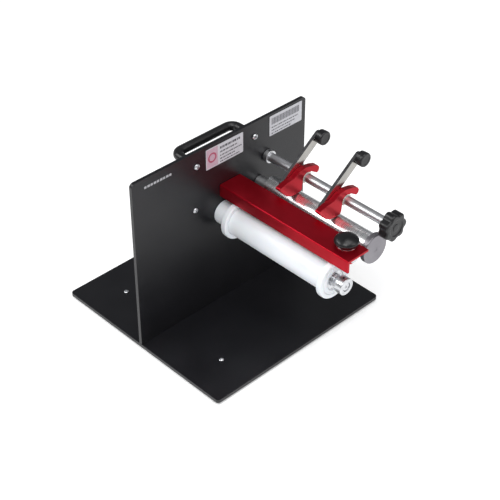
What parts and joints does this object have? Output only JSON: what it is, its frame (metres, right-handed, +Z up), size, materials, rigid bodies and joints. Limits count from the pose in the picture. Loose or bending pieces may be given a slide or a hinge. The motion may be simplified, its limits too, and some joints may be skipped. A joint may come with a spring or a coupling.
{
  "type": "label web slitter",
  "caption": "Tabletop slitter for label webs: base and upright plate carrying guide roller, anvil roller, sliding blade holders with lift levers, and a tilting red hold-down bar.",
  "frame": {"origin": "on the floor under the rubber feet, at the middle of the whole object's footprint", "axes": "+X from the upright plate along the rollers to their free ends, +Y along the upright plate from the guide roller to the anvil roller, +Z up"},
  "size_m": [0.385, 0.305, 0.268],
  "materials": {
    "black_powder_coat": "fine satin powder coat, black",
    "red_anodised": "red anodised, satin",
    "white_acetal": "turned, slightly glossy white",
    "satin_aluminium": "fine turned, satin grey",
    "polished_steel": "turned or ground and polished, bright",
    "zinc_plated_steel": "bright zinc plate",
    "black_plastic": "moulded, low sheen black",
    "black_rubber": "matt black",
    "natural_nylon": "natural, off white",
    "label_paper": "printed self-adhesive label, light grey"
  },
  "bodies": {
    "stand": {"base_plate": "black_powder_coat", "blade_shaft": "satin_aluminium", "blade_shaft_nut": "zinc_plated_steel", "carry_handle": "black_plastic", "foot_screw_1": "zinc_plated_steel", "foot_screw_2": "zinc_plated_steel", "foot_screw_3": "zinc_plated_steel", "foot_screw_4": "zinc_plated_steel", "front_axle": "zinc_plated_steel", "front_axle_nut": "zinc_plated_steel", "front_end_collar": "zinc_plated_steel", "front_end_washer": "zinc_plated_steel", "front_spacer": "white_acetal", "handle_screw_1": "zinc_plated_steel", "handle_screw_2": "zinc_plated_steel", "label_centre": "label_paper", "label_right": "label_paper", "lower_screw": "zinc_plated_steel", "plate_screw_1": "zinc_plated_steel", "plate_screw_2": "zinc_plated_steel", "plate_screw_3": "zinc_plated_steel", "rear_axle": "zinc_plated_steel", "rear_axle_nut": "zinc_plated_steel", "rear_spacer": "satin_aluminium", "rubber_foot_1": "black_rubber", "rubber_foot_2": "black_rubber", "rubber_foot_3": "black_rubber", "rubber_foot_4": "black_rubber", "shaft_collar": "satin_aluminium", "support_rod": "zinc_plated_steel", "support_rod_nut": "zinc_plated_steel", "upright_plate": "black_powder_coat"},
    "guide_roller": {"front_roller": "white_acetal", "front_bearing_far": "zinc_plated_steel", "front_bearing_near": "zinc_plated_steel"},
    "far_guide_ring": {"guide_ring_far": "white_acetal"},
    "near_guide_ring": {"guide_ring_near": "white_acetal"},
    "anvil_roller": {"rear_roller": "polished_steel", "rear_end_cap": "satin_aluminium", "rear_bearing_far": "zinc_plated_steel", "rear_bearing_near": "zinc_plated_steel"},
    "liner_carriage_1": {"shaft_liner_1": "natural_nylon"},
    "blade_arm_1": {"blade_holder_1": "red_anodised", "blade_1": "polished_steel", "lever_1": "polished_steel", "lever_knob_1": "black_plastic", "lever_screw_1": "zinc_plated_steel"},
    "liner_carriage_2": {"shaft_liner_2": "natural_nylon"},
    "blade_arm_2": {"blade_holder_2": "red_anodised", "blade_2": "polished_steel", "lever_2": "polished_steel", "lever_knob_2": "black_plastic", "lever_screw_2": "zinc_plated_steel"},
    "end_knob_thrust": {"end_knob_washer": "zinc_plated_steel"},
    "end_knob_body": {"end_knob": "black_plastic", "end_knob_stud": "zinc_plated_steel"},
    "tilting_bar": {"hold_down_bar": "red_anodised"},
    "bar_knob_thrust": {"bar_knob_washer": "zinc_plated_steel"},
    "bar_knob_body": {"bar_knob": "black_plastic", "bar_knob_stud": "zinc_plated_steel"}
  },
  "joints": [
    {"name": "guide_roller_spin", "type": "hinge", "parent": "stand", "child": "guide_roller", "pos_m": [0.076, -0.001, 0.1544], "axis": [1, 0, 0], "continuous": true},
    {"name": "far_guide_ring_slide", "type": "slide", "parent": "guide_roller", "child": "far_guide_ring", "axis": [1, 0, 0], "range_m": [0, 0.08]},
    {"name": "near_guide_ring_slide", "type": "slide", "parent": "guide_roller", "child": "near_guide_ring", "axis": [1, 0, 0], "range_m": [-0.08, 0]},
    {"name": "anvil_roller_spin", "type": "hinge", "parent": "stand", "child": "anvil_roller", "pos_m": [0.075, 0.065, 0.1715], "axis": [1, 0, 0], "continuous": true},
    {"name": "blade_arm_1_slide", "type": "slide", "parent": "stand", "child": "liner_carriage_1", "axis": [1, 0, 0], "range_m": [-0.045, 0.024]},
    {"name": "blade_arm_1_lift", "type": "hinge", "parent": "liner_carriage_1", "child": "blade_arm_1", "pos_m": [0.034, 0.0805, 0.2063], "axis": [1, 0, 0], "range_deg": [-45, 0]},
    {"name": "blade_arm_2_slide", "type": "slide", "parent": "stand", "child": "liner_carriage_2", "axis": [1, 0, 0], "range_m": [-0.024, 0.038]},
    {"name": "blade_arm_2_lift", "type": "hinge", "parent": "liner_carriage_2", "child": "blade_arm_2", "pos_m": [0.1045, 0.0805, 0.2063], "axis": [1, 0, 0], "range_deg": [-45, 0]},
    {"name": "end_knob_travel", "type": "slide", "parent": "stand", "child": "end_knob_thrust", "axis": [1, 0, 0], "range_m": [0, 0.002]},
    {"name": "end_knob_turn", "type": "hinge", "parent": "end_knob_thrust", "child": "end_knob_body", "pos_m": [0.185, 0.0805, 0.2063], "axis": [1, 0, 0], "range_deg": [0, 720]},
    {"name": "bar_tilt", "type": "hinge", "parent": "stand", "child": "tilting_bar", "pos_m": [0.077, 0.0165, 0.187], "axis": [1, 0, 0], "range_deg": [-50, 0]},
    {"name": "bar_knob_travel", "type": "slide", "parent": "tilting_bar", "child": "bar_knob_thrust", "axis": [0, 0, 1], "range_m": [0, 0.0016]},
    {"name": "bar_knob_turn", "type": "hinge", "parent": "bar_knob_thrust", "child": "bar_knob_body", "pos_m": [0.167, 0.0165, 0.207], "axis": [0, 0, 1], "range_deg": [0, 720]}
  ],
  "couplings": [
    {"joint": "end_knob_turn", "follows": "end_knob_travel", "rad_per_m": 6283.2},
    {"joint": "bar_knob_turn", "follows": "bar_knob_travel", "rad_per_m": 7854}
  ]
}
